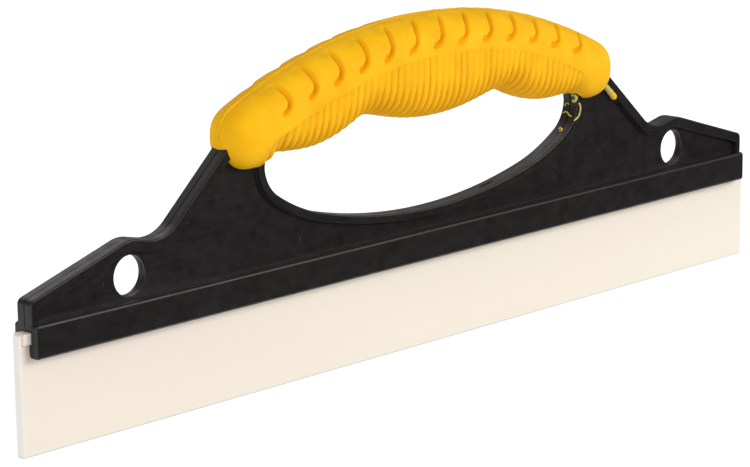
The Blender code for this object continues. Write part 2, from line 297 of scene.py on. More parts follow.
def seam_wander(x, z):
    """How far the lip of the seam strays from its drawn depth."""
    drift = SEAM_DRIFT * noise.noise((x * SEAM_DRIFT_SCALE, z * SEAM_DRIFT_SCALE, 4.0))
    if z < LENS_BELOW and abs(x - LENS_X) < LENS_HALF_LENGTH:
        drift += LENS_DEPTH * (1.0 - ((x - LENS_X) / LENS_HALF_LENGTH) ** 2)
    return drift


def ring_at(outline, depth, near_seam):
    """Lift an outline to its depth in front of the seam."""
    places = []
    for x, z in outline:
        stray = seam_wander(x, z) if near_seam else 0.0
        places.append(Vector((x, -(depth + stray), z)))
    return places


print("rings in the border's profile:", len(border_profile(RIM_WIDTH)))

# %% [markdown]
# ## One half of the frame's plate
# Four kinds of wall are skinned from rings: the outer border, the border of the opening, the two
# hanging holes, and the shallow round marks that ejector pins leave on the web. Two fills then
# close the solid: the web in front and the flat seam face behind. A fill between several loops
# leaves the holes open by itself.

# %% Skin the walls and fill the web
EJECTOR_MARKS = [(135.2, 43.9, 2.4), (58.7, 43.9, 3.2), (155.6, 40.1, 0.9)]   # x, z, radius
EJECTOR_SINK = 0.16
EJECTOR_DRAFT = 0.12              # the floor of a mark is this much narrower than its rim
CIRCLE_SIDES = 48
FOOT_RISE = 0.1                   # keeps the feet of the rings apart inside the bar's roof


def border_rings():
    """Rings of the outer border; inside it the end walls are narrower than the rest."""
    rings = []
    for inset, depth in border_profile(RIM_WIDTH):
        if inset < RIM_WIDTH / 2:
            outline = plate_outline(bar_half, CORNER_ROUND)
        else:
            outline = plate_outline(bar_half + RIM_WIDTH - END_WALL, inset + 0.5)
        outline = offset(outline, -inset)
        foot = PLATE_ROOT + inset * FOOT_RISE
        for index in (0, 1, -1):
            outline[index] = (outline[index][0], foot)
        rings.append(ring_at(outline, depth, depth == SEAM_LIP + SEAM_GAP))
    return rings


def opening_rings():
    """Rings of the border round the finger opening."""
    drawn = opening_outline()
    rings = []
    for inset, depth in border_profile(OPENING_RIM_WIDTH):
        rings.append(ring_at(offset(drawn, inset), depth, depth == SEAM_LIP + SEAM_GAP))
    return rings


def circle_rings(centre, radius, profile):
    """Rings round a hole or a mark."""
    rings = []
    for inset, depth in profile:
        outline = arc(centre, radius + inset, 0.0, 360.0 - 360.0 / CIRCLE_SIDES, CIRCLE_SIDES - 1)
        rings.append(ring_at(outline, depth, False))
    return rings


def plate_half():
    """The front plate with its borders, holes and ejector marks, as a closed bmesh."""
    shape = bmesh.new()
    web_loops, seam_loops = [], []
    walls = [border_rings(), opening_rings()]
    for side in (-1, 1):
        walls.append(circle_rings((side * HOLE[0], HOLE[1]), HOLE_RADIUS, hole_profile()))
    for rings in walls:
        at_seam, at_web = skin(shape, rings)
        seam_loops += at_seam
        web_loops += at_web
    for x, z, radius in EJECTOR_MARKS:
        for side in (-1, 1):
            sink = [(0.0, WEB_DEPTH), (-EJECTOR_DRAFT, WEB_DEPTH - EJECTOR_SINK)]
            at_web, floor = skin(shape, circle_rings((side * x, z), radius, sink))
            web_loops += at_web
            bmesh.ops.edgeloop_fill(shape, edges=floor)
    for loops in (web_loops, seam_loops):
        bmesh.ops.triangle_fill(
            shape, use_beauty=True, use_dissolve=False, edges=loops, normal=(0, -1, 0))
    bmesh.ops.recalc_face_normals(shape, faces=shape.faces)
    return shape


def open_edges(shape):
    """How many edges don't join exactly two faces; 0 in a closed solid."""
    return sum(not edge.is_manifold for edge in shape.edges)


plate = plate_half()
print("plate half:", len(plate.verts), "vertices, open edges:", open_edges(plate))

# %% [markdown]
# ## One half of the clamp bar
# The bar is a straight extrusion of one section, with half of the T-shaped channel that
# holds the blade. Its ends are rounded over, and that is made by letting the section change along
# the bar: the rings shrink near the ends. The rings are close together only where something changes.

# %% Skin the bar
BAR_TOP = 37.4
BAR_ROUND = 0.9
BAR_END_ROUND = 1.0
BLADE_THICKNESS = 2.9
HEAD_BOTTOM = 31.9
FIT = 0.3                         # clear space round the blade
LIP_ROUND = 0.2
STATION_STEP = 10.0
END_STATIONS = 8


def bar_ring(x):
    """Section of the front half of the bar at a station along it."""
    over = max(abs(x) - (bar_half - BAR_END_ROUND), 0.0)
    inset = BAR_END_ROUND - math.sqrt(BAR_END_ROUND ** 2 - over ** 2)
    face = bar_face - inset
    low = bar_bottom + inset
    top = BAR_TOP - inset
    neck = BLADE_THICKNESS / 2 + FIT
    head = head_half + FIT
    section = [(neck, HEAD_BOTTOM - FIT)]
    section += arc((neck + LIP_ROUND, low + LIP_ROUND), LIP_ROUND, 180, 270, 3)
    section += [(neck + 2 * LIP_ROUND, low), (face - BAR_ROUND - HOLD, low)]
    section += arc((face - BAR_ROUND, low + BAR_ROUND), BAR_ROUND, 270, 360, 6)
    section += [(face, low + BAR_ROUND + HOLD), (face, top - BAR_ROUND - HOLD)]
    section += arc((face - BAR_ROUND, top - BAR_ROUND), BAR_ROUND, 0, 90, 6)
    section += [(face - BAR_ROUND - HOLD, top), (SEAM_GAP + SEAM_LIP, top), (SEAM_GAP, top - SEAM_LIP)]
    section += [(SEAM_GAP, head_top + FIT), (head, head_top + FIT), (head, HEAD_BOTTOM - FIT)]
    return [Vector((x, -y, z)) for y, z in section]


def bar_stations():
    """Stations along the bar for x > 0, crowded at the rounded end."""
    stations = [STATION_STEP * step for step in range(16)]
    for step in range(END_STATIONS):
        turned = math.radians(90.0 * step / (END_STATIONS - 1))
        stations.append(bar_half - BAR_END_ROUND * (1.0 - math.sin(turned)))
    stations.append(bar_half - BAR_END_ROUND - HOLD)
    return sorted(stations)


def bar_half_shape():
    """The front half of the clamp bar as a closed bmesh."""
    shape = bmesh.new()
    right = bar_stations()
    stations = [-x for x in reversed(right) if x > 0.001] + right
    ends = skin(shape, [bar_ring(x) for x in stations])
    for edges in ends:
        bmesh.ops.edgeloop_fill(shape, edges=edges)
    bmesh.ops.recalc_face_normals(shape, faces=shape.faces)
    return shape


bar = bar_half_shape()
print("bar half:", len(bar.verts), "vertices, open edges:", open_edges(bar))

# %% [markdown]
# ## Satin black plastic
# The frame is a tough black plastic with a satin face. Close up it is never one flat tone: the
# gloss wanders, a fine grain from the mould breaks up the reflections, faint flow lines
# run along the web, and a few pale specks of dust sit on it. All of it reads Object coordinates, so it
# stays in place on the piece.

# %% Helpers for node materials
def new_material(name):
    """A node material; returns it with its tree and its Principled shader."""
    material = bpy.data.materials.new(name)
    material.use_nodes = True
    tree = material.node_tree
    return material, tree, tree.nodes["Principled BSDF"]


def add_node(tree, kind, inputs=(), **settings):
    """Add a node, set its properties, and set or link its inputs."""
    node = tree.nodes.new("ShaderNode" + kind)
    for key, value in settings.items():
        setattr(node, key, value)
    for socket, value in dict(inputs).items():
        if isinstance(value, bpy.types.NodeSocket):
            tree.links.new(value, node.inputs[socket])
        else:
            node.inputs[socket].default_value = value
    return node


def millimetres(tree, stretch=(1.0, 1.0, 1.0)):
    """Object coordinates in millimetres, stretched if a pattern needs it."""
    place = add_node(tree, "TexCoord").outputs["Object"]
    scale = [1000.0 * factor for factor in stretch]
    return add_node(tree, "Mapping", {"Vector": place, "Scale": scale}).outputs["Vector"]


def noise_at(tree, place, scale, detail=3.0, roughness=0.55):
    """A noise pattern, 0 to 1, with features of about 1 / scale millimetres."""
    inputs = {"Vector": place, "Scale": scale, "Detail": detail, "Roughness": roughness}
    return add_node(tree, "TexNoise", inputs).outputs["Fac"]


def ramp(tree, value, low, high, low_out=0.0, high_out=1.0):
    """Map a value from one range to another and keep it there."""
    inputs = {"Value": value, "From Min": low, "From Max": high, "To Min": low_out, "To Max": high_out}
    return add_node(tree, "MapRange", inputs).outputs["Result"]


def mix_colour(tree, share, first, second):
    """Blend two colours; a Mix node of colours has its share in socket 0 and them in 6 and 7."""
    node = add_node(tree, "Mix", data_type="RGBA")
    for socket, value in ((0, share), (6, first), (7, second)):
        if isinstance(value, bpy.types.NodeSocket):
            tree.links.new(value, node.inputs[socket])
        else:
            node.inputs[socket].default_value = (*value, 1.0) if socket else value
    return node.outputs[2]


def multiply(tree, first, second):
    """Multiply two values."""
    return add_node(tree, "Math", {0: first, 1: second}, operation="MULTIPLY").outputs[0]


def bump(tree, shader, height, depth_mm, normal=None):
    """Add a bump of a real depth to a shader."""
    inputs = {"Height": height, "Distance": depth_mm * MM, "Strength": 1.0}
    if normal:
        inputs["Normal"] = normal
    result = add_node(tree, "Bump", inputs).outputs["Normal"]
    tree.links.new(result, shader.inputs["Normal"])
    return result


# %% The plastic itself
def black_plastic():
    """Satin black with grain, flow lines and dust."""
    material, tree, shader = new_material("satin_black_plastic")
    place = millimetres(tree)
    tone = ramp(tree, noise_at(tree, place, 0.06), 0.3, 0.7)
    base = mix_colour(tree, tone, (0.0050, 0.0045, 0.0043), (0.0080, 0.0072, 0.0068))
    cells = add_node(tree, "TexVoronoi", {"Vector": place, "Scale": 0.11}, feature="F1")
    near = ramp(tree, cells.outputs["Distance"], 0.014, 0.010)
    parts = add_node(tree, "SeparateColor", {"Color": cells.outputs["Color"]})
    kept = ramp(tree, parts.outputs["Red"], 0.55, 0.60)
    dusty = mix_colour(tree, multiply(tree, near, kept), base, (0.30, 0.28, 0.26))
    tree.links.new(dusty, shader.inputs["Base Color"])
    gloss = noise_at(tree, place, 0.25, detail=4.0)
    tree.links.new(ramp(tree, gloss, 0.3, 0.7, 0.34, 0.46), shader.inputs["Roughness"])
    shader.inputs["Specular IOR Level"].default_value = 0.38
    flow = noise_at(tree, millimetres(tree, (0.05, 0.5, 0.6)), 1.0, detail=2.0)
    first = bump(tree, shader, flow, 0.05)
    bump(tree, shader, noise_at(tree, place, 4.0), 0.012, first)
    return material


plastic = black_plastic()
print("material:", plastic.name)

# %% [markdown]
# ## Joining plate and bar, then mirroring
# On the real squeegee the plate and the bar are one shot of plastic, so their solids are united and
# no wall is left inside. The exact solver is used, because both solids are closed and their faces
# touch at shallow angles. The back half comes from the same mould design the other way
# round: the mesh is mirrored across the seam, and its faces are turned out again.

# %% Unite, mirror and place both halves
def united(name, shapes):
    """Unite closed bmeshes into one mesh in metres."""
    parts = []
    for shape in shapes:
        mesh = bpy.data.meshes.new(name)
        shape.to_mesh(mesh)
        shape.free()
        part = bpy.data.objects.new(name, mesh)
        bpy.context.scene.collection.objects.link(part)
        parts.append(part)
    boolean = parts[0].modifiers.new("Union", "BOOLEAN")
    boolean.operation = "UNION"
    boolean.solver = "EXACT"
    boolean.object = parts[1]
    graph = bpy.context.evaluated_depsgraph_get()
    result = bpy.data.meshes.new_from_object(parts[0].evaluated_get(graph))
    result.transform(Matrix.Scale(MM, 4))
    for part in parts:
        bpy.data.objects.remove(part)
    return result


front_mesh = united("front_moulding", (plate, bar))
back_mesh = front_mesh.copy()
back_mesh.transform(Matrix.Scale(-1.0, 4, (0.0, 1.0, 0.0)))
back_mesh.flip_normals()
finish_mesh(front_mesh)
finish_mesh(back_mesh)
place_piece("front_moulding", front_mesh, [plastic], "handle", ["frame_front"])
place_piece("back_moulding", back_mesh, [plastic], "handle", ["frame_back"])

# %% [markdown]
# ## The form of the rubber sleeve
# The sleeve is a long swollen form: an arched crest, three finger swells below, and two round
# ends. A sphere with its poles pointing along the handle has just the right faces for it. Each of its
# vertices is moved to where the sleeve's section at that station puts it, so the whole form comes
# from a handful of arcs.

# %% Sections of the sleeve
CREST_RADIUS = 188.0
END_CENTRE = (77.2, 77.2)
END_RADIUS = 9.6
MIDDLE_LOBE = (0.0, 148.6, 76.0)          # x, z and radius of the middle finger swell
OUTER_LOBE = (56.0, 108.3, 38.0)
MIDDLE_HALF_WIDTH = 11.5
END_HALF_WIDTH = 8.8
LOBE_BLEND = 1.6
END_BLEND = 4.2                           # the sleeve is fuller between an end and the swell beside it
END_BLEND_FROM, END_BLEND_TO = 58.0, 66.0
CREST_MEETS_END = 25.0                    # degrees round the end, from its top
SQUARE_OUT, SQUARE_UP = 0.82, 0.86        # below 1 the section is squarer than an ellipse
SLEEVE_STATIONS = 540
SLEEVE_SIDES = 180
SLEEVE_SHARP = 60.0                       # degrees; the sleeve has no edge as sharp as this
crest_top = sleeve_high.z


def soft_minimum(first, second, blend):
    """The lower of two heights, rounded over where they cross."""
    return 0.5 * (first + second - math.sqrt((first - second) ** 2 + blend ** 2))


def lobe_height(lobe, x):
    """Underside of one finger swell."""
    centre_x, centre_z, radius = lobe
    return centre_z - math.sqrt(max(radius ** 2 - (abs(x) - centre_x) ** 2, 0.0))


def end_reach(x):
    """Half height of the round end at a station."""
    return math.sqrt(max(END_RADIUS ** 2 - (abs(x) - END_CENTRE[0]) ** 2, 0.0))


def crest_height(x):
    """Height of the crest."""
    if abs(x) > END_CENTRE[0] + END_RADIUS * math.sin(math.radians(CREST_MEETS_END)):
        return END_CENTRE[1] + end_reach(x)
    return crest_top - CREST_RADIUS + math.sqrt(CREST_RADIUS ** 2 - x ** 2)


def underside_height(x):
    """Height of the finger side: three swells between two round ends."""
    end = END_CENTRE[1] - end_reach(x)
    if abs(x) >= END_CENTRE[0]:
        return end
    swells = soft_minimum(lobe_height(MIDDLE_LOBE, x), lobe_height(OUTER_LOBE, x), LOBE_BLEND)
    blend = LOBE_BLEND + (END_BLEND - LOBE_BLEND) * smooth(END_BLEND_FROM, END_BLEND_TO, abs(x))
    return soft_minimum(swells, end, blend) + LOBE_BLEND / 4


def sleeve_half_width(x):
    """Half of the sleeve's depth, narrowing to the ends and closing over them."""
    along = min(abs(x) / END_CENTRE[0], 1.0)
    width = MIDDLE_HALF_WIDTH + (END_HALF_WIDTH - MIDDLE_HALF_WIDTH) * along ** 2
    return width if along < 1.0 else width * end_reach(x) / END_RADIUS


def station(share):
    """x of a ring, for share from -1 to 1, evenly spaced along the surface."""
    walked = abs(share) * (END_CENTRE[0] + END_RADIUS * math.pi / 2)
    if walked < END_CENTRE[0]:
        return math.copysign(walked, share)
    turn = (walked - END_CENTRE[0]) / END_RADIUS
    return math.copysign(END_CENTRE[0] + END_RADIUS * math.sin(turn), share)


def sleeve_point(x, angle):
    """Point of the plain sleeve, angle 0 at the back and a quarter turn at the crest."""
    top = crest_height(x)
    low = underside_height(x)
    out, up = math.cos(angle), math.sin(angle)
    y = math.copysign(abs(out) ** SQUARE_OUT, out) * sleeve_half_width(x)
    z = (top + low) / 2 + math.copysign(abs(up) ** SQUARE_UP, up) * (top - low) / 2
    return Vector((x, y, z))


print("sleeve height in the middle:", round(crest_height(0) - underside_height(0), 1), "mm")

# %% [markdown]
# ## Scoops and ribs
# Thirteen thumb scoops run along each shoulder. A scoop is a shallow dish that ends at the right in a
# comma-shaped groove: thin at the top, wider as it comes down, and curled under at its tip. Round the
# finger side run fifty thin ribs. They start at an arched line with a tiny step, shallow at first.
# Towards the underside they deepen and stand a little proud. Each pattern is written as a depth that
# depends on the place on the surface, and the vertices are pushed in by that much along their
# normals. Pushing along normals keeps the pattern true on a curved form, where moving straight down
# would smear it.
# A soft range is written as four numbers: where it starts, where it is full, where it begins to
# fade and where it ends.

# %% Depth of the scoops and the ribs
SCOOP_PITCH = 11.15
LAST_SCOOP = 6                    # scoops are numbered from the middle, -6 to 6
SCOOP_TURN = 10.6                 # distance from the crest where the comma begins to curl
CURL_RADIUS = 3.4
LEAN = 0.45                       # to the left per millimetre down, right of the middle scoop
LEAN_AT_LEFT = -0.35              # the scoops at the left end lean the other way
LEAN_MIDDLE, LEAN_MIDDLE_AT_LEFT = 10.0, 6.5
GROOVE_DEPTH = 1.50
GROOVE_THIN, GROOVE_WIDE = 0.50, 1.00
GROOVE_WIDENS = (-7.2, -2.5)
GROOVE_WALL = (-0.85, 0.15)       # steep wall at the right of the middle line, in groove widths
GROOVE_LIP = (0.45, 1.25)         # gentler one at the left
GROOVE_REACH = (-7.8, -4.5, 5.6, 6.6)     # soft range along the comma, 0 where it begins to curl
TIP_DEEPER = 0.35                 # share by which the groove is deeper where it curls
TIP_DEEPENS = (-1.0, 2.5)
DISH_DEPTH = 0.38
DISH_WIDTH = 6.5
DISH_REACH = (-8.0, -6.8, -1.7, 1.8)
SOIL_REACH = (-9.7, -8.0, -5.2, -1.2)
SOIL_ACROSS = (0.0, 1.2, 3.5, 7.0)        # soft range to the left of the comma
RIB_PITCH = 2.8
RIB_START, RIB_END = -75.4, 67.4
RIB_ARCH_TOP, RIB_ARCH_RADIUS = 92.8, 155.0
RIB_STEP = 0.22
RIB_SHALLOW, RIB_DEEP = 0.85, 1.75
RIB_PROUD = 0.34                  # at the underside the ribs stand out this far
RIB_TOP_RAMP = (-0.2, 0.3)        # below the arch, where the ribs start
RIB_END_RAMP = 0.5
RIB_DEEPENS = (0.25, 0.85)        # shares of the way from the arch to the underside
RIB_GROOVE_POWER = (0.42, 0.75)   # at the arch and the underside; below 1 the grooves are narrow


def band(low_start, low_end, high_start, high_end, value):
    """1 inside a range, with soft ramps at both sides of it."""
    return smooth(low_start, low_end, value) * (1.0 - smooth(high_start, high_end, value))


def shoulder_distance(place):
    """Distance from the crest round the shoulder, evened out where the sleeve is narrower."""
    away = math.hypot(place.y, crest_height(place.x) - place.z)
    narrow = MIDDLE_HALF_WIDTH / max(sleeve_half_width(place.x), 1.0)
    return away * (1.0 + 0.5 * (narrow - 1.0))


def comma_place(index, x, down):
    """Distance to the left of a comma's middle line, and distance along it from where it curls."""
    right = smooth(-7.0, 0.5, index)      # about 0 at the left end, 1 right of the middle scoop
    lean = LEAN_AT_LEFT + (LEAN - LEAN_AT_LEFT) * right
    middle = LEAN_MIDDLE_AT_LEFT + (LEAN_MIDDLE - LEAN_MIDDLE_AT_LEFT) * right
    across = x - index * SCOOP_PITCH + lean * (down - middle)
    if down < SCOOP_TURN:
        return -across, down - SCOOP_TURN
    from_centre = Vector((across + CURL_RADIUS, down - SCOOP_TURN))
    return CURL_RADIUS - from_centre.length, CURL_RADIUS * math.atan2(from_centre.y, from_centre.x)


def scoop_fields(place):
    """Depth of the thumb scoops and the share of soil in them."""
    depth, soil = 0.0, 0.0
    down = shoulder_distance(place)
    if down > SCOOP_TURN + 2 * CURL_RADIUS:
        return depth, soil
    nearest = round(place.x / SCOOP_PITCH)
    for index in range(max(nearest - 1, -LAST_SCOOP), min(nearest + 1, LAST_SCOOP) + 1):
        left, along = comma_place(index, place.x, down)
        width = GROOVE_THIN + (GROOVE_WIDE - GROOVE_THIN) * smooth(*GROOVE_WIDENS, along)
        wall = smooth(GROOVE_WALL[0] * width, GROOVE_WALL[1] * width, left)
        lip = 1.0 - smooth(GROOVE_LIP[0] * width, GROOVE_LIP[1] * width, left)
        tip = 1.0 + TIP_DEEPER * smooth(*TIP_DEEPENS, along)
        groove = wall * lip * tip * band(*GROOVE_REACH, along)
        dish = wall * (1.0 - smooth(1.0, DISH_WIDTH, left)) * band(*DISH_REACH, along)
        depth = max(depth, GROOVE_DEPTH * groove, DISH_DEPTH * dish)
        soil = max(soil, band(*SOIL_ACROSS, left) * band(*SOIL_REACH, along))
    return depth, soil


def rib_depth(place):
    """Depth of the finger ribs."""
    arch = RIB_ARCH_TOP - RIB_ARCH_RADIUS + math.sqrt(RIB_ARCH_RADIUS ** 2 - place.x ** 2)
    below = arch - place.z
    if below < RIB_TOP_RAMP[0]:
        return 0.0
    ends = band(RIB_START, RIB_START + RIB_END_RAMP, RIB_END - RIB_END_RAMP, RIB_END, place.x)
    inside = smooth(*RIB_TOP_RAMP, below) * ends
    full = arch - underside_height(place.x)
    lower = smooth(*RIB_DEEPENS, below / full)
    deep = RIB_SHALLOW + (RIB_DEEP - RIB_SHALLOW) * lower
    crest = abs(math.sin(math.pi * (place.x - RIB_START) / RIB_PITCH))
    level = RIB_STEP - (RIB_STEP + RIB_PROUD) * lower
    power = RIB_GROOVE_POWER[0] + (RIB_GROOVE_POWER[1] - RIB_GROOVE_POWER[0]) * lower
    return inside * (level + deep * (1.0 - crest ** power))


# %% [markdown]
# ## Pushing the sphere into shape
# The sphere gets enough rings to carry each rib as eight rows of faces. All its vertices are
# first put on the plain form, the normals are worked out there, and only then are the scoops and
# ribs pushed in. The share of soil at each vertex is kept as an attribute for the paint.

# %% Model the sleeve
def sleeve_mesh():
    """The rubber sleeve with its scoops and ribs, and a soil attribute for its material."""
    shape = bmesh.new()
    bmesh.ops.create_uvsphere(shape, u_segments=SLEEVE_SIDES, v_segments=SLEEVE_STATIONS, radius=1.0)
    soil_layer = shape.verts.layers.float.new("soil")
    for vert in shape.verts:
        share = 1.0 - 2.0 * math.acos(min(max(vert.co.z, -1.0), 1.0)) / math.pi
        vert.co = sleeve_point(station(share), math.atan2(vert.co.y, vert.co.x))
    shape.normal_update()
    for vert in shape.verts:
        scoop, soil = scoop_fields(vert.co)
        vert[soil_layer] = soil
        vert.co -= vert.normal * (scoop + rib_depth(vert.co))
    return to_mesh("rubber_sleeve", shape)


sleeve = sleeve_mesh()
print("sleeve vertices:", len(sleeve.vertices))

# %% [markdown]
# ## Yellow rubber, used
# The rubber is matte and slightly mottled. Hands have left a greenish-brown film at the top of the
# scoops, where it can't be wiped off. The soil is painted by the attribute that the modelling step
# wrote, broken up by noise, so it follows the shape.

# %% The rubber's material
def yellow_rubber():
    """Matte yellow rubber with soil in the scoops."""
    material, tree, shader = new_material("yellow_rubber")
    place = millimetres(tree)
    mottle = ramp(tree, noise_at(tree, place, 0.12, detail=5.0), 0.3, 0.7)
    base = mix_colour(tree, mottle, (0.89, 0.45, 0.002), (0.97, 0.54, 0.006))
    soil = add_node(tree, "Attribute", attribute_name="soil").outputs["Fac"]
    broken = ramp(tree, noise_at(tree, place, 0.35, detail=8.0, roughness=0.7), 0.30, 0.75)
    film = multiply(tree, multiply(tree, soil, broken), 0.70)
    dirty = mix_colour(tree, film, base, (0.60, 0.38, 0.006))
    tree.links.new(dirty, shader.inputs["Base Color"])
    rough = ramp(tree, noise_at(tree, place, 0.8), 0.3, 0.7, 0.60, 0.75)
    tree.links.new(rough, shader.inputs["Roughness"])
    shader.inputs["Specular IOR Level"].default_value = 0.12
    bump(tree, shader, noise_at(tree, place, 2.2, detail=4.0), 0.05)
    return material


rubber = yellow_rubber()
finish_mesh(sleeve, SLEEVE_SHARP)
place_piece("rubber_sleeve", sleeve, [rubber], "handle", ["grip"])

# %% [markdown]
# ## Stray rubber
# Liquid rubber creeps wherever the mould doesn't close tightly. It leaves a thin raised line along the
# crest, where the mould halves met, a worm beside the right shoulder, and threads and crumbs on the
# inner edge of the opening. Each is a strand: small rings skinned along a path, thick and thin by
# turns.

# %% A strand of rubber along a path
STRAND_SHARP = 70.0               # degrees; only the blunt ends of a strand shade as edges


def strand(shape, path, radii, sides=8):
    """Skin rings along a path, closed at both ends."""
    rings = []
    for index, centre in enumerate(path):
        ahead = path[min(index + 1, len(path) - 1)] - path[max(index - 1, 0)]
        forward = ahead.normalized()
        side = forward.cross(Vector((0.0, 1.0, 0.0)))
        if side.length < 0.2:
            side = forward.cross(Vector((1.0, 0.0, 0.0)))
        side.normalize()
        other = side.cross(forward)
        ring = []
        for step in range(sides):
            angle = 2.0 * math.pi * step / sides
            ring.append(centre + (side * math.cos(angle) + other * math.sin(angle)) * radii[index])
        rings.append(ring)
    for edges in skin(shape, rings):
        bmesh.ops.edgeloop_fill(shape, edges=edges)


def eased_path(points, steps):
    """A smooth path through a few points, as a Catmull-Rom spline."""
    path = []
    padded = [points[0] * 2 - points[1]] + list(points) + [points[-1] * 2 - points[-2]]
    for index in range(1, len(padded) - 2):
        before, here, there, after = padded[index - 1:index + 3]
        for step in range(steps):
            t = step / steps
            pull = (2 * here + (there - before) * t + (2 * before - 5 * here + 4 * there - after) * t ** 2
                    + (3 * here - before - 3 * there + after) * t ** 3)
            path.append(pull / 2)
    return path + [points[-1]]


# %% [markdown]
# ## The parting line
# The line follows the crest and runs down both ends, where it is thickest. Its thickness and its
# place both wander a little, and it has picked up soil.

# %% The parting line along the crest
LINE_RADIUS = 0.32
LINE_STEPS = 700
LINE_REACH = 0.995                # of the way to the tip of each end
LINE_THICKER_AT_ENDS = 0.9
LINE_THICKENS = (66.0, 84.0)      # x from where, and up to where
LINE_UNEVEN = 0.45
LINE_WANDER = 0.25


def parting_line():
    """Raised line over the crest and down both ends, grimy from the hand."""
    shape = bmesh.new()
    soil_layer = shape.verts.layers.float.new("soil")
    path, radii = [], []
    for step in range(LINE_STEPS + 1):
        share = (2.0 * step / LINE_STEPS - 1.0) * LINE_REACH
        x = station(share)
        place = Vector((x, 0.0, crest_height(x)))
        uneven = noise.noise((x * 0.25, 2.0, 0.0))
        place.y = LINE_WANDER * noise.noise((x * 0.08, 5.0, 0.0))
        path.append(place)
        thicker = LINE_THICKER_AT_ENDS * smooth(*LINE_THICKENS, abs(x))
        radii.append(LINE_RADIUS * (1.0 + LINE_UNEVEN * uneven + thicker))
    strand(shape, path, radii)
    for vert in shape.verts:
        vert[soil_layer] = 0.9 + 0.6 * noise.noise((vert.co.x * 0.12, 7.0, 0.0))
    return to_mesh("parting_line", shape)


line = parting_line()
finish_mesh(line, STRAND_SHARP)
place_piece("parting_line", line, [rubber], "handle")

# %% [markdown]
# ## The worm, the threads and the crumbs
# The worm comes out from under the sleeve, lies in the corner of the border and ends bluntly. The
# threads and crumbs lie on the border at the right end of the opening and over its wall. Their
# routes are a few points each, set on the surface of the frame, with a smooth path drawn through them.

# %% The worm beside the right shoulder
WORM_RADIUS = 1.05
WORM_PALE_UNTIL = 88.4            # x, where the thin pale rubber gives way to thicker yellow
WORM_ROUTE = [
    (81.8, -3.6, 73.4),
    (84.6, -2.9, 71.2),
    (87.0, -2.6, 69.2),
    (89.2, -2.6, 67.2),
    (91.0, -2.6, 65.4),
]


def worm():
    """A strand of rubber that was squeezed out into the corner of the border, paler where it starts."""
    shape = bmesh.new()
    path = eased_path([Vector(place) for place in WORM_ROUTE], 8)
    count = len(path) - 1
    radii = []
    for index in range(count + 1):      # fuller towards its end, which is blunt
        swell = 0.82 + 0.25 * index / count + 0.06 * math.sin(index)
        blunt = math.sqrt(min(1.0, 0.08 + 0.3 * (count - index)))
        radii.append(WORM_RADIUS * swell * blunt)
    strand(shape, path, radii, sides=16)
    for face in shape.faces:
        middle = face.calc_center_median()
        face.material_index = int(middle.x + 2.0 * noise.noise(middle) < WORM_PALE_UNTIL)
    return to_mesh("squeezed_rubber", shape)


# %% Threads and crumbs in the opening
FLASH_ROUTES = [                  # radius, and route down the border and over its wall
    (0.28, [(71.4, -3.2, 66.9), (71.9, -3.4, 65.7), (71.9, -3.4, 64.1),
            (70.9, -3.4, 62.4), (68.8, -3.3, 61.2)]),
    (0.48, [(70.8, -0.6, 69.0), (70.4, -2.0, 69.4), (70.5, -2.9, 68.6),
            (70.5, -2.4, 67.5), (70.4, -1.2, 67.4)]),
    (0.24, [(69.9, 2.4, 62.9), (69.9, 1.2, 63.6), (69.8, 0.2, 63.4),
            (69.4, -0.8, 62.8), (69.2, -2.0, 62.4)]),
    (0.20, [(70.6, 1.9, 65.1), (70.6, 1.7, 66.0), (70.7, 0.8, 66.3), (70.6, 0.2, 65.9)]),
    (0.30, [(66.0, 0.5, 58.4), (65.7, 0.0, 58.9), (65.9, -0.7, 58.6),
            (65.6, -0.6, 58.0), (65.6, 0.2, 57.9)]),
    (0.30, [(71.6, -3.3, 71.4), (72.6, -3.4, 71.2), (73.4, -3.4, 71.6)]),
    (0.45, [(69.6, 2.6, 70.2), (69.9, 1.6, 69.8), (70.0, 0.6, 70.2)]),
]


def flash_threads():
    """Threads and crumbs of rubber that crept out round the right end of the opening."""
    shape = bmesh.new()
    for radius, route in FLASH_ROUTES:
        path = eased_path([Vector(place) for place in route], 8)
        last = len(path) - 1
        radii = []
        for index in range(len(path)):
            taper = math.sqrt(min(1.0, 0.15 + 0.3 * min(index, last - index)))
            radii.append(radius * taper * (1.0 + 0.3 * noise.noise(path[index])))
        strand(shape, path, radii, sides=10)
    return to_mesh("flash_threads", shape)


def thin_flash():
    """Rubber this thin lets light through, and is paler and greener than the sleeve."""
    material, tree, shader = new_material("thin_flash")
    place = millimetres(tree)
    drift = ramp(tree, noise_at(tree, place, 0.35, detail=3.0), 0.35, 0.65)
    tint = mix_colour(tree, drift, (0.62, 0.52, 0.05), (0.52, 0.52, 0.20))
    tree.links.new(tint, shader.inputs["Base Color"])
    rough = ramp(tree, noise_at(tree, place, 1.5), 0.3, 0.7, 0.40, 0.60)
    tree.links.new(rough, shader.inputs["Roughness"])
    shader.inputs["Specular IOR Level"].default_value = 0.35
    bump(tree, shader, noise_at(tree, place, 3.0), 0.04)
    return material


pale_rubber = thin_flash()
squeezed = worm()
threads = flash_threads()
finish_mesh(squeezed, STRAND_SHARP)
place_piece("squeezed_rubber", squeezed, [rubber, pale_rubber], "handle")
finish_mesh(threads, STRAND_SHARP)
place_piece("flash_threads", threads, [pale_rubber], "handle")

# %% [markdown]
# ## The silicone blade
# The blade is a strip with a T-shaped head, cut to length with a knife. A grid of nine faces,
# moved to the section's lines and with the two lower corners deleted, is already the T. It is
# extruded along the bar, the strip goes one millimetre further than the head at both ends, and
# the long edges are bevelled a little, as silicone edges are never razor sharp.

# %% Model the blade
HEAD_STEP = 0.4                   # the strip's top is this much lower where it passes the head
HEAD_TRIM = 1.0                   # the head is cut this much shorter at each end
BLADE_EDGE = 0.22
CORNER_ANGLE = 1.0                # radians; the outer right-angled edges are over this


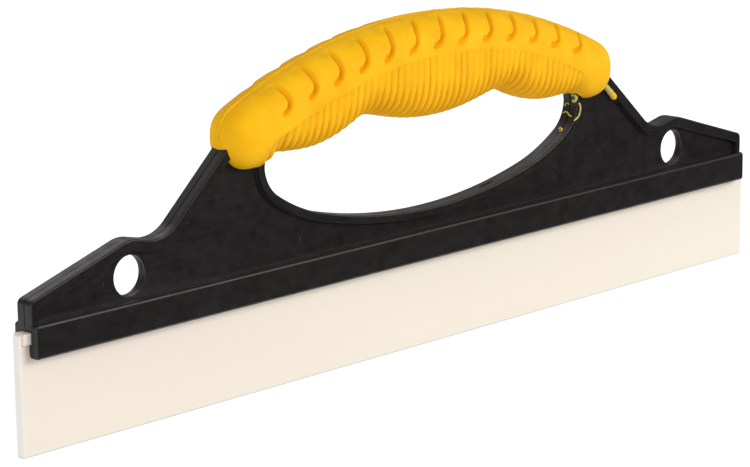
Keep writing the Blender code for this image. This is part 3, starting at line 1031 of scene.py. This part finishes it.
def blade_section(shape):
    """The T-shaped section as faces at x = 0."""
    bmesh.ops.create_grid(shape, x_segments=3, y_segments=3, size=1.0)
    columns = [-head_half, -BLADE_THICKNESS / 2, BLADE_THICKNESS / 2, head_half]
    rows = [0.0, HEAD_BOTTOM, head_top - HEAD_STEP, head_top]
    for vert in shape.verts:
        column = round((vert.co.x + 1.0) * 1.5)
        row = round((vert.co.y + 1.0) * 1.5)
        vert.co = Vector((0.0, columns[column], rows[row]))
    spare = []
    for face in shape.faces:
        middle = face.calc_center_median()
        if abs(middle.y) > BLADE_THICKNESS / 2 and middle.z < HEAD_BOTTOM:
            spare.append(face)
    bmesh.ops.delete(shape, geom=spare, context="FACES")


def blade_mesh():
    """The silicone strip, bevelled."""
    shape = bmesh.new()
    blade_section(shape)
    bmesh.ops.translate(shape, verts=shape.verts, vec=(-blade_half + HEAD_TRIM, 0.0, 0.0))
    section = list(shape.faces)
    grown = bmesh.ops.extrude_face_region(shape, geom=section, use_keep_orig=True)["geom"]
    new = [item for item in grown if isinstance(item, bmesh.types.BMVert)]
    bmesh.ops.translate(shape, verts=new, vec=(2 * (blade_half - HEAD_TRIM), 0.0, 0.0))
    bmesh.ops.recalc_face_normals(shape, faces=shape.faces)
    for side in (-1, 1):
        strip = []
        for face in shape.faces:
            middle = face.calc_center_median()
            in_strip = abs(middle.y) < BLADE_THICKNESS / 2 and middle.z < head_top - HEAD_STEP
            if face.normal.x * side > 0.9 and in_strip:
                strip.append(face)
        grown = bmesh.ops.extrude_face_region(shape, geom=strip)["geom"]
        bmesh.ops.delete(shape, geom=strip, context="FACES_ONLY")
        new = [item for item in grown if isinstance(item, bmesh.types.BMVert)]
        bmesh.ops.translate(shape, verts=new, vec=(side * HEAD_TRIM, 0.0, 0.0))
    bmesh.ops.recalc_face_normals(shape, faces=shape.faces)
    corners = [e for e in shape.edges if len(e.link_faces) == 2 and e.calc_face_angle_signed() > CORNER_ANGLE]
    bmesh.ops.bevel(
        shape, geom=corners, offset=BLADE_EDGE, segments=3, profile=0.5, material=-1, affect="EDGES")
    return to_mesh("silicone_blade", shape)


blade = blade_mesh()
print("blade vertices:", len(blade.vertices))

# %% [markdown]
# ## Milky silicone
# Silicone rubber of this kind is milky: light goes in, scatters and comes out
# again close by. The wide faces look cream with a faint drift between a pinkish and a greenish
# tint, while the cut ends look cooler and greyer, because a knife leaves them frosted. Towards the
# wiping edge the colour is painted darker and blue-green: painted shade standing in for the light that leaves
# the edge.

# %% The silicone's material
def milky_silicone():
    """Cream silicone with a drifting tint, cooler ends and painted shade along the wiping edge."""
    material, tree, shader = new_material("milky_silicone")
    place = millimetres(tree)
    drift = ramp(tree, noise_at(tree, millimetres(tree, (0.35, 1.0, 1.0)), 0.02, detail=1.0), 0.35, 0.65)
    base = mix_colour(tree, drift, (0.885, 0.805, 0.715), (0.875, 0.835, 0.715))
    parts = add_node(tree, "SeparateXYZ", {"Vector": place})
    along = add_node(tree, "Math", {0: parts.outputs["X"]}, operation="ABSOLUTE").outputs[0]
    ends = ramp(tree, along, blade_half - 0.35, blade_half - 0.05)
    cut = mix_colour(tree, ends, base, (0.93, 0.93, 0.90))
    # Painted shade: the lowest part of the blade is painted darker and blue-green, in place of the light that
    # leaves the silicone at its edge.
    painted_edge_shade = ramp(tree, parts.outputs["Z"], 0.7, 0.2)
    with_painted_edge_shade = mix_colour(tree, painted_edge_shade, cut, (0.62, 0.72, 0.70))
    tree.links.new(with_painted_edge_shade, shader.inputs["Base Color"])
    shader.inputs["Roughness"].default_value = 0.38
    shader.inputs["Specular IOR Level"].default_value = 0.35
    shader.inputs["Subsurface Weight"].default_value = 0.25
    shader.inputs["Subsurface Radius"].default_value = (1.0, 0.9, 0.8)
    shader.inputs["Subsurface Scale"].default_value = 0.0015
    bump(tree, shader, noise_at(tree, place, 0.4), 0.02)
    return material


silicone = milky_silicone()
finish_mesh(blade)
place_piece("silicone_blade", blade, [silicone], "blade", ["blade"])

# %% [markdown]
# ## Floor and light
# The squeegee stands on its wiping edge on a pale floor, in a bright tent of light with three large soft
# lamps: the main one at the front right, a weaker one at the left, and one high at the back that
# gives the edges on top their sheen. The floor glows a little, so it stays white to the camera
# even in the shade. It is left out of the soft light on the squeegee: the lower half of the world
# gives the bounce instead, so its strength can be set by itself.
# Black plastic shows whatever it mirrors, so photographers lay a black card in front of it. This one is
# seen in reflections only: it keeps the front faces deep black, while the edges on top still mirror
# the bright tent.

# %% Floor, card, tent and lamps
FLOOR_GLOW = 0.52
FLOOR_HALF = 6.0
FLOOR_DROP = 0.0002               # metres below the wiping edge, so the two don't touch
CARD_PLACE = (0.62, -0.83, 0.0)
CARD_HALF = 0.80
TENT_COLOUR = (1.0, 0.945, 0.91, 1.0)
SKY, BOUNCE = 0.37, 0.74          # brightness of the tent above and below the horizon
LAMPS = [                         # name, place, size and power in watts
    ("front_lamp", (0.8, -1.4, 0.8), 0.9, 20.0),
    ("left_lamp", (-1.35, -0.5, 0.5), 0.9, 8.0),
    ("back_lamp", (0.35, 1.3, 1.2), 1.2, 4.5),
]


def stage_plane(name, centre, half_size, material):
    """A flat square of the studio."""
    shape = bmesh.new()
    bmesh.ops.create_grid(shape, x_segments=1, y_segments=1, size=half_size)
    bmesh.ops.translate(shape, verts=shape.verts, vec=centre)
    mesh = bpy.data.meshes.new(name)
    shape.to_mesh(mesh)
    shape.free()
    mesh.materials.append(material)
    plane = bpy.data.objects.new(name, mesh)
    bpy.context.scene.collection.objects.link(plane)
    return plane


def pale_floor():
    """A wide pale floor just under the wiping edge."""
    material, _, shader = new_material("pale_floor")
    shader.inputs["Base Color"].default_value = (0.94, 0.94, 0.94, 1.0)
    shader.inputs["Roughness"].default_value = 0.9
    shader.inputs["Specular IOR Level"].default_value = 0.1
    shader.inputs["Emission Color"].default_value = (1.0, 1.0, 1.0, 1.0)
    shader.inputs["Emission Strength"].default_value = FLOOR_GLOW
    floor = stage_plane("floor", (0.0, 0.0, -FLOOR_DROP), FLOOR_HALF, material)
    floor.visible_diffuse = False


def black_card():
    """A card at the front right that only reflections can see."""
    material, _, shader = new_material("black_card")
    shader.inputs["Base Color"].default_value = (0.01, 0.01, 0.01, 1.0)
    shader.inputs["Roughness"].default_value = 1.0
    shader.inputs["Specular IOR Level"].default_value = 0.0
    card = stage_plane("black_card", CARD_PLACE, CARD_HALF, material)
    card.visible_camera = False
    card.visible_diffuse = False
    card.visible_shadow = False


def light_tent():
    """A world that is dimmer above the horizon than below it."""
    world = bpy.data.worlds.new("light_tent")
    world.use_nodes = True
    tree = world.node_tree
    toward = add_node(tree, "TexCoord").outputs["Generated"]
    height = add_node(tree, "SeparateXYZ", {"Vector": toward}).outputs["Z"]
    background = tree.nodes["Background"]
    background.inputs["Color"].default_value = TENT_COLOUR
    tree.links.new(ramp(tree, height, -0.1, 0.1, BOUNCE, SKY), background.inputs["Strength"])
    bpy.context.scene.world = world


def soft_lamp(name, place, size, power):
    """A large square lamp that faces the squeegee."""
    data = bpy.data.lights.new(name, "AREA")
    data.shape = "SQUARE"
    data.size = size
    data.energy = power
    lamp = bpy.data.objects.new(name, data)
    lamp.location = place
    aim = Vector((0.0, 0.0, 0.06)) - Vector(place)
    lamp.rotation_euler = aim.to_track_quat("-Z", "Y").to_euler()
    bpy.context.scene.collection.objects.link(lamp)


pale_floor()
black_card()
light_tent()
for lamp in LAMPS:
    soft_lamp(*lamp)
bpy.context.scene.view_settings.view_transform = "Standard"

# %% [markdown]
# ## The camera
# A long lens looks down a little from the front left, nearly a metre away. The view is given as
# a turn round the object, a height above the horizon and a slight roll, and the camera's own
# axes are worked out from those.

# %% Place the camera
VIEW_TURN = -46.27                # degrees round the vertical, 0 is straight from the front
VIEW_HEIGHT = 12.71               # degrees above the horizon
VIEW_ROLL = -0.73
VIEW_DISTANCE = 0.879
VIEW_SHIFT = (-0.0147, -0.0390)   # metres to the right and up from the aim
VIEW_AIM = Vector((0.0, 0.0, 0.075))
LENS = 137.0


def add_camera():
    """Create the camera from its angles."""
    turn, height, roll = (math.radians(a) for a in (VIEW_TURN, VIEW_HEIGHT, VIEW_ROLL))
    flat = math.cos(height)
    back = Vector((math.sin(turn) * flat, -math.cos(turn) * flat, math.sin(height)))
    level = Vector((math.cos(turn), math.sin(turn), 0.0))
    upright = back.cross(level)
    right = level * math.cos(roll) + upright * math.sin(roll)
    up = upright * math.cos(roll) - level * math.sin(roll)
    data = bpy.data.cameras.new("camera")
    data.lens = LENS
    data.sensor_width = 36.0
    data.clip_start, data.clip_end = 0.05, 30.0
    camera = bpy.data.objects.new("camera", data)
    bpy.context.scene.collection.objects.link(camera)
    turned = Matrix((right, up, back)).transposed()
    place = VIEW_AIM + back * VIEW_DISTANCE + right * VIEW_SHIFT[0] + up * VIEW_SHIFT[1]
    camera.matrix_world = Matrix.Translation(place) @ turned.to_4x4()
    bpy.context.scene.camera = camera


add_camera()
